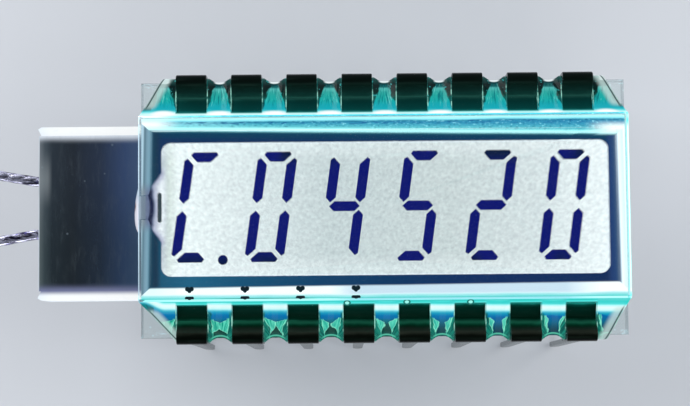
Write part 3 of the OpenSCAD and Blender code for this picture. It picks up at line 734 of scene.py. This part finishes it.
# the same two distances, made to waver, for the marks in the resin
warp = noise(millimetres(tree, stretch=(1, 1, 0.2)), 1.7, 2, 0.5) - 0.5
bentAside = aside + warp * 0.42
bentOut = out + (noise(millimetres(tree, centre=(5, 9, 0)), 1.3, 2, 0.5) - 0.5) * 0.4
bentMid = abs(bentAside)
# painted glow of the backlight in the resin: the bands across each bead are brightest next to the
# step
farOut = out + 0.13 + x * askew["farBead"]
farTone = bandsOf(farOut, [(4.36, (222, 254, 252)), (4.46, (200, 250, 248)),
                           (4.52, (150, 238, 240)), (4.57, (100, 216, 222)), (4.63, (44, 186, 196)),
                           (4.7, (14, 168, 182)), (4.9, (16, 166, 176)), (5.1, (20, 170, 166)),
                           (5.32, (30, 168, 160)), (5.5, (46, 170, 162)), (5.6, (74, 184, 176)),
                           (5.68, (84, 186, 180)), (5.74, (30, 112, 112)), (5.8, (6, 76, 78)),
                           (5.95, (20, 90, 90))])
wedgeTone = bandsOf(out, [(4.5, (6, 140, 152)), (4.62, (2, 96, 104)), (4.85, (0, 72, 74)),
                          (5.05, (16, 92, 86)), (5.18, (10, 60, 54)), (5.4, (2, 34, 32)),
                          (5.7, (2, 26, 26)), (5.9, (16, 62, 60)), (6.14, (24, 84, 80))])
nearOut = out - 0.15 - x * askew["nearBead"] + ease(x, -10.1, -11.1, 0.0, 0.35)
nearTone = bandsOf(nearOut, [(4.02, (84, 214, 210)), (4.12, (54, 212, 205)), (4.21, (64, 216, 212)),
                             (4.25, (90, 228, 224)), (4.3, (176, 252, 252)),
                             (4.38, (230, 254, 253)), (4.475, (216, 252, 250)),
                             (4.53, (186, 246, 246)), (4.57, (130, 222, 232)),
                             (4.62, (64, 182, 202)), (4.68, (22, 154, 190)), (4.8, (2, 116, 174)),
                             (4.9, (4, 108, 164)), (5.04, (10, 118, 152)), (5.18, (12, 112, 140)),
                             (5.32, (14, 98, 122)), (5.46, (14, 84, 108)), (5.55, (10, 76, 92)),
                             (5.65, (30, 100, 106))])
# rays that fan out from the scallop, different in each gap
angle = sums("ARCTAN2", aside, 6.25 - out)
fan = tree.nodes.new("ShaderNodeCombineXYZ")
feed(fan.inputs[0], angle * 9)
feed(fan.inputs[1], sums("FLOOR", gapCount) * 5.3)
feed(fan.inputs[2], out * 1.1)
rays = noise(Reading(fan.outputs[0]), 1.5, 3, 0.6, 0.4)
rayZone = ease(out, 4.6, 5.0) * ease(out, 5.95, 5.7)
farTone = blendOf(ease(rays, 0.5, 0.34) * 0.85 * rayZone, farTone, resinTints["rayDark"])
farTone = blendOf(ease(rays, 0.56, 0.72) * 0.8 * rayZone, farTone, resinTints["rayLight"])
# painted pool of light at the foot of each gap, and the dark wedges beside the clips
lightPool = (fromMid / 0.52) ** 2.0 + (abs(farOut - 4.42) / 0.18) ** 2.0
farTone = blendOf(ease(lightPool, 1.9, 0.2), farTone, resinTints["lightPool"])
fanEdge = 0.56 - (out - 4.55) * 0.33
wedge = ease(bentMid - fanEdge, -0.03, 0.05)
wedge = wedge * ease(out, 4.48, 4.62)
farTone = blendOf(wedge, farTone, wedgeTone)
glint = ease(noise(place, 4.2, 2, 0.6), 0.6, 0.7) * wedge * 0.7
farTone = blendOf(glint, farTone, resinTints["glint"])
# crescent of light on the scallop's lip, with a dark line inside it
fromScallop = root(aside * aside + abs(6.5 - out) ** 2.0)
crescentZone = ease(fromMid, 0.3, 0.14)
farTone = blendOf(bump(fromScallop, 0.74, 0.07) * crescentZone, farTone, resinTints["scallopLine"])
farTone = blendOf(ease(fromScallop, 0.7, 0.66) * crescentZone, farTone, resinTints["crescent"])
# near side: two mint wings that meet on the left of the row and stand apart on the right
inner = larger(0.11 + x * 0.021, -0.04)
wingIn = inner + (0.36 - inner) * ease(bentOut, 5.22, 5.06)
wingIn = wingIn + (0.27 - inner) * ease(bentOut, 5.34, 5.72)
wingOut = ease(bentOut, 5.0, 5.72, 0.44, 0.29)
insideIn = ease(wingIn - bentMid, -0.015, 0.015)
insideOut = ease(wingOut - bentMid, -0.015, 0.015)
underBlue = ease(bentOut, 5.0, 5.08)
leftMiddle = bandsOf(out, [(5.02, (4, 106, 152)), (5.2, (6, 108, 124)), (5.36, (2, 74, 66)),
                           (5.62, (0, 62, 54)), (5.8, (4, 84, 74))])
rightMiddle = bandsOf(out, [(5.02, (4, 100, 166)), (5.3, (6, 100, 136)), (5.5, (4, 80, 104)),
                            (5.7, (2, 60, 80)), (5.85, (10, 84, 90))])
middle = blendOf(ease(x, -1, 5), leftMiddle, rightMiddle)
sides = blendOf(ease(rays, 0.38, 0.62), resinTints["sideDark"], resinTints["sideLight"])
wing = blendOf(ease(x, -8, 2), resinTints["wingLeft"], resinTints["wingRight"])
wing = blendOf(ease(rays, 0.4, 0.6), wing, resinTints["wingLight"])
lower = blendOf(insideOut, sides, wing)
lower = blendOf(insideIn, lower, middle)
wingLine = larger(bump(bentMid - wingIn, 0.0, 0.04), bump(bentMid - wingOut, 0.0, 0.035))
wingLine = wingLine * ease(bentOut, 5.76, 5.7) * ease(rays, 0.35, 0.6, 0.35, 0.95)
lower = blendOf(wingLine, lower, resinTints["wingLine"])
lip = bump(fromScallop, 0.7, 0.06) * ease(fromMid, 0.5, 0.3)
lower = blendOf(lip, lower, resinTints["nearLip"])
nearTone = blendOf(underBlue, nearTone, lower)
# painted shade of the clips: beside and under them the blue band turns to the darker side tone
shadeBesideClips = ease(bentMid, 0.43, 0.5) * ease(nearOut, 4.6, 4.72) * 0.75
nearTone = blendOf(shadeBesideClips, nearTone, sides)
# columns of the clips: turquoise foot on the near side, teal fringe where the clip begins
column = ease(fromMid, 0.5, 0.6) * ease(abs(x), 9.66, 9.58)
nearFoot = bandsOf(out, [(4.25, (70, 214, 208)), (4.32, (48, 212, 204)), (4.37, (96, 240, 232)),
                         (4.41, (40, 140, 132)), (4.46, (4, 70, 60))])
nearTone = blendOf(column, nearTone, nearFoot)
farTone = blendOf(column * ease(out, 4.33, 4.42), farTone, resinTints["farFringe"])
# small bubbles on the near side, each a painted highlight in a dark ring
bubble = None
for across, away in bead["bubbles"]:
    near = root((abs(x - across) / 0.16) ** 2.0 + (abs(y - away) / 0.11) ** 2.0)
    bubble = near if bubble is None else sums("MINIMUM", bubble, near)
nearTone = blendOf(ease(bubble, 1.15, 0.95), nearTone, resinTints["bubbleRing"])
nearTone = blendOf(ease(bubble, 0.72, 0.5), nearTone, resinTints["bubbleHighlight"])
resinTone = blendOf(ease(y, -0.5, 0.5), nearTone, farTone)
# thin painted glint where the resin climbs the clip's side, and the bead's slanting ends
sideGlint = bump(fromMid, 0.545, 0.035) * ease(out, 4.5, 4.7) * ease(out, 5.75, 5.45)
broken = noise(millimetres(tree, stretch=(1, 1.4, 1)), 2.0, 2)
sideGlint = sideGlint * ease(broken, 0.42, 0.62, 0.05, 0.9)
resinTone = blendOf(sideGlint, resinTone, resinTints["climbGlint"])
# the near left end leans further in than the other three
lean = 0.545 + ease(y, 1, -1, 0.0, 0.375) * ease(x, 1, -1)
endWay = 11.18 - lean * (out - 4.25) - abs(x + plateShift)
endZone = ease(out, 4.5, 4.8)
resinTone = blendOf(ease(endWay, 0.6, 0.28) * 0.7 * endZone, resinTone, resinTints["endPale"])
resinTone = blendOf(bump(endWay, 0.07, 0.07) * endZone, resinTone, resinTints["endLine"])
paint(shader, resinTone, 0.72)
# clear where it lies over a clip's head
inColumn = ease(fromMid, 0.55, 0.59) * ease(abs(x), 9.63, 9.59)
overClip = inColumn * ease(out, 4.38, 4.47)
overClip = overClip * ease(bubble, 1.1, 1.2)
feed(shader.inputs["Alpha"], 0.97 - overClip * 0.955)
setSockets(shader, {"Roughness": 0.12, "Specular IOR Level": 0.12})


def curve(a, b, c, steps):
    # from a to c, drawn towards b: a times (1-t) squared, b times 2t(1-t), c times t squared
    t = np.linspace(0, 1, steps)[:, None]
    return np.array(a) * (1 - t) ** 2 + np.array(b) * 2 * t * (1 - t) + np.array(c) * t * t


def beadRings(leftLean):
    # one profile, as distance out and height, is carried along the row from end to end, and every
    # point of it is pulled in by the scallop and down by the dish of its place
    base, edge, floor, hair = bead["stepOut"], bead["glassOut"], bead["ledge"], bead["hair"]
    over, outer = floor + bead["overCrease"], edge + bead["standOut"]
    top = np.concatenate([curve((base, floor + bead["climb"]), (base + 0.25, over + 0.06),
                                (bead["creaseOut"], over), 12),
                          curve((edge - 0.2, over - 0.1), (outer, over - 0.2),
                                (outer, floor - bead["runDown"] / 3), 10)])
    low = np.array([(edge + hair, floor - bead["runDown"]), (edge + hair, floor - 0.02),
                    (edge - 0.4, floor + hair), (base + hair, floor + hair)])
    profile = np.concatenate([top, low])
    along = np.linspace(0, 1, bead["samples"])[:, None]
    # the ends slant in from the plate's own ends at the step to the last clips at the outer edge
    slope = (profile[None, :, 0] - base) / (edge + 0.34 - base)
    left = np.minimum(bead["left"] + leftLean * (profile[None, :, 0] - base), -bead["lastSide"])
    right = bead["right"] * (1 - slope) + bead["outerEnd"] * slope
    x = left + (right - left) * along
    away = np.abs((x / clip["pitch"] + 20.0) % 1.0) * clip["pitch"]
    away = np.minimum(away, clip["pitch"] - away)
    y = np.repeat(profile[None, :, 0], len(along), 0)
    z = np.repeat(profile[None, :, 1], len(along), 0)
    inField = np.abs(x) < 3.4 * clip["pitch"]
    # scallop: an upright cylinder eats the outer edge in the middle of each gap
    wide = bead["scallop"]
    scallop = edge - 0.015 + wide - np.sqrt(np.maximum(wide ** 2 - away ** 2, 0))
    eaten = np.minimum(y, np.maximum(scallop, edge + hair))
    y = np.where(inField & (away < wide), eaten, y)
    # dish: a groove of round section that falls outwards lowers the surface between the clips
    fall = math.tan(math.radians(bead["grooveFall"]))
    groove = (floor + bead["grooveTop"] - (y - base - 0.35) * fall + bead["dish"]
              - np.sqrt(np.maximum(bead["dish"] ** 2 - away ** 2, 0)))
    isTop = np.arange(len(profile)) < len(top)
    dished = inField & isTop & (away < bead["dish"]) & (y > base + 0.1)
    z = np.where(dished, np.minimum(z, groove), z)
    return np.stack([x, y, z], -1)


for name, way in (("resin_top", 1), ("resin_bottom", -1)):
    rings = beadRings(bead["lean"][way]) * np.array([1, way, 1])
    piece = solidFromRings("bead_" + name[6:], rings, resinFinish, bead["sharp"])
    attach(piece, "root")
    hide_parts(name)
print("resin beads laid")

# leads: tinned square wire with a slightly lumpy coat
wire = {"thick": 0.46, "round": 0.1, "rows": 120, "level": 8.43, "yMid": 0.36, "pitch": 2.54,
        "inside": -14.918, "bend": -16.618, "past": 5.37, "straight": 0.5, "spread": 10.0,
        "dark": (44, 42, 66), "bright": (222, 222, 246), "blue": (120, 116, 190)}
wireFinish, tree, shader = newFinish("tinned wire")
place = millimetres(tree)
lumps = noise(millimetres(tree, stretch=(0.9, 4, 3)), 1.9, 4, 0.65)
# the dark and bright patches that follow the lumps are painted reflections and highlights of the
# tin, with a painted blue tinge of reflected light
tinAndSheen = blendOf(ease(lumps, 0.4, 0.58), wire["dark"], wire["bright"])
tinAndSheen = blendOf(ease(noise(place, 3.0, 3), 0.55, 0.7) * 0.6, tinAndSheen, wire["blue"])
feed(shader.inputs["Base Color"], tinAndSheen)
setSockets(shader, {"Metallic": 0.95, "Roughness": 0.2})
relief(shader, lumps, 0.02)


def wireRings(side):
    # a rounded square carried along a line that runs straight out and then bends aside
    slant = math.radians(wire["spread"])
    bendAt = np.array([wire["bend"], 0.0])
    heading = np.array([-math.cos(slant), side * math.sin(slant)])
    end = bendAt + (wire["past"] - wire["straight"]) * heading
    # evenly spaced points along it, from the running length
    line = bentPath([(wire["inside"], 0.0), bendAt, end], [wire["thick"]], 8)
    length = np.concatenate([[0], np.cumsum(np.linalg.norm(np.diff(line, axis=0), axis=1))])
    s = np.linspace(0, length[-1], wire["rows"])
    line = np.stack([np.interp(s, length, line[:, 0]), np.interp(s, length, line[:, 1])], -1)
    h = headings(line)
    turn = np.linspace(0, 2 * math.pi, 20, endpoint=False) + math.pi / 20
    half = wire["thick"] / 2 - wire["round"]
    # the coat's thickness wavers with slow sine waves along the wire
    slow = 0.022 * np.sin(s * 2.1 + side) * np.sin(s * 5.7)
    waver = (1 + slow + 0.012 * np.sin(s * 9.3 + 2 * side))[:, None]
    a = (np.sign(np.cos(turn)) * half + np.cos(turn) * wire["round"])[None, :] * waver
    b = (np.sign(np.sin(turn)) * half + np.sin(turn) * wire["round"])[None, :] * waver
    middle = wire["yMid"] + side * wire["pitch"] / 2
    return np.stack([line[:, 0:1] - h[:, 1:2] * a, line[:, 1:2] + h[:, 0:1] * a + middle,
                     wire["level"] + b], -1)


for name, side in (("led_lead_anode", 1), ("led_lead_cathode", -1)):
    piece = solidFromRings("wire_" + name[9:], wireRings(side), wireFinish)
    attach(piece, "root")
    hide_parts(name)
print("leads drawn")

# end seal: a drop of adhesive on the port, with its tongue in the gap
plug = {
    "edge": -11.268, "level": 11.35, "long": 2.46, "high": 1.46, "stands": 0.29, "sag": 0.3,
    "tongue": 0.35, "channel": 1.06, "gap": 0.09, "around": 64,
    "lower": (226, 226, 238), "upper": (178, 202, 222), "foot": (138, 152, 170),
    "brown": (116, 84, 78),
}
plugFinish, tree, shader = newFinish("amber adhesive")
place = millimetres(tree)
x, y, z = axes(place)
amber = ease(x, -11.4, -11.5) * bump(y, 0.14, 0.36) * ease(noise(place, 2.2, 2), 0.25, 0.5)
plugTone = blendOf(ease(y, 0.1, 0.9), plug["lower"], plug["upper"])
plugTone = blendOf(ease(x, -11.3, -11.24), plugTone, plug["foot"])
plugTone = blendOf(amber, plugTone, plug["brown"])
paint(shader, plugTone, 0.55)
setSockets(shader, {"Roughness": 0.15, "Specular IOR Level": 0.5, "Coat Weight": 0.5,
                    "Coat Roughness": 0.05})
# ellipses that shrink and sag outwards: size is the root of 1 less the square of the way out
out = np.linspace(0, 1, 14)[:, None]
size = np.sqrt(np.maximum(1 - out ** 2, 0.0004)) * (1 - 0.12 * out)
turn = np.linspace(0, 2 * math.pi, plug["around"], endpoint=False)[None, :]
lumpy = 1 + 0.04 * np.sin(3 * turn + 0.6)
halfLong, halfHigh = plug["long"] / 2 / 1.04, plug["high"] / 2 / 1.04
along = portMid - plug["sag"] * out + size * halfLong * np.cos(turn) * lumpy
upright = plug["level"] + size * halfHigh * np.sin(turn) * lumpy
drop = np.stack(np.broadcast_arrays(plug["edge"] - plug["stands"] * out, along, upright), -1)
# one flat ellipse, carried straight in
inward = np.linspace(-0.05, plug["tongue"], 6)[:, None]
tongue = np.stack(np.broadcast_arrays(plug["edge"] + inward,
                                      portMid + plug["channel"] / 2 * np.cos(turn),
                                      plug["level"] + plug["gap"] / 2 * np.sin(turn)), -1)
piece = joined("plug_drop", [solidFromRings("shell", drop, plugFinish),
                             solidFromRings("shell", tongue, plugFinish)])
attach(piece, "root")
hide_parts("end_seal")
print("port closed")

# floor, lamps and surroundings
studio = {
    "floorDark": (198, 201, 206), "floorLight": (206, 209, 214), "seen": (226, 228, 232),
    "reach": 1.2,
    "lampPower": 0.25, "lampSize": 0.16,
    "lamps": [("lamp left", (-0.13, 0.10, 0.14), 1.0), ("lamp right", (0.15, 0.02, 0.15), 0.7),
              ("lamp near", (0.0, -0.17, 0.11), 0.6)],
}
floorFinish, tree, shader = newFinish("pale floor")
place = millimetres(tree)
floorTone = blendOf(noise(place, 0.02, 3), studio["floorDark"], studio["floorLight"])
feed(shader.inputs["Base Color"], floorTone)
setSockets(shader, {"Roughness": 0.7, "Specular IOR Level": 0.2})
ground = bpy.data.meshes.new("floor")
reach, under = studio["reach"], -0.0001
ground.from_pydata([(-reach, -reach, under), (reach, -reach, under),
                    (reach, reach, under), (-reach, reach, under)], [], [(0, 1, 2, 3)])
floor = bpy.data.objects.new("floor", ground)
ground.materials.append(floorFinish)
scene.collection.objects.link(floor)

# soft square lamps, each turned to face the display
for name, spot, power in studio["lamps"]:
    lampData = bpy.data.lights.new(name, "AREA")
    lampData.size = studio["lampSize"]
    lampData.energy = studio["lampPower"] * power
    lamp = bpy.data.objects.new(name, lampData)
    lamp.location = spot
    away = np.array(spot) - np.array([0, 0, 0.01])
    lamp.rotation_euler = (math.acos(away[2] / np.linalg.norm(away)), 0,
                           math.atan2(away[1], away[0]) + math.pi / 2)
    scene.collection.objects.link(lamp)

world = bpy.data.worlds.new("surroundings")
world.use_nodes = True
scene.world = world
tree = world.node_tree
backdrop = tree.nodes["Background"]
coords = tree.nodes.new("ShaderNodeTexCoord")
x, y, z = axes(Reading(coords.outputs["Generated"]))
# darker straight overhead, so that glass seen from above stays clear
sky = bandsOf(z, [(-1.0, (214, 216, 220)), (0.0, (232, 234, 238)), (0.45, (226, 229, 234)),
                  (0.8, (150, 154, 160)), (1.0, (96, 100, 106))])
lightPath = tree.nodes.new("ShaderNodeLightPath")
seenSky = blendOf(Reading(lightPath.outputs["Is Camera Ray"]), sky, studio["seen"])
feed(backdrop.inputs["Color"], seenSky)
backdrop.inputs["Strength"].default_value = 1.0
scene.view_settings.view_transform = "Standard"
print("studio lit")
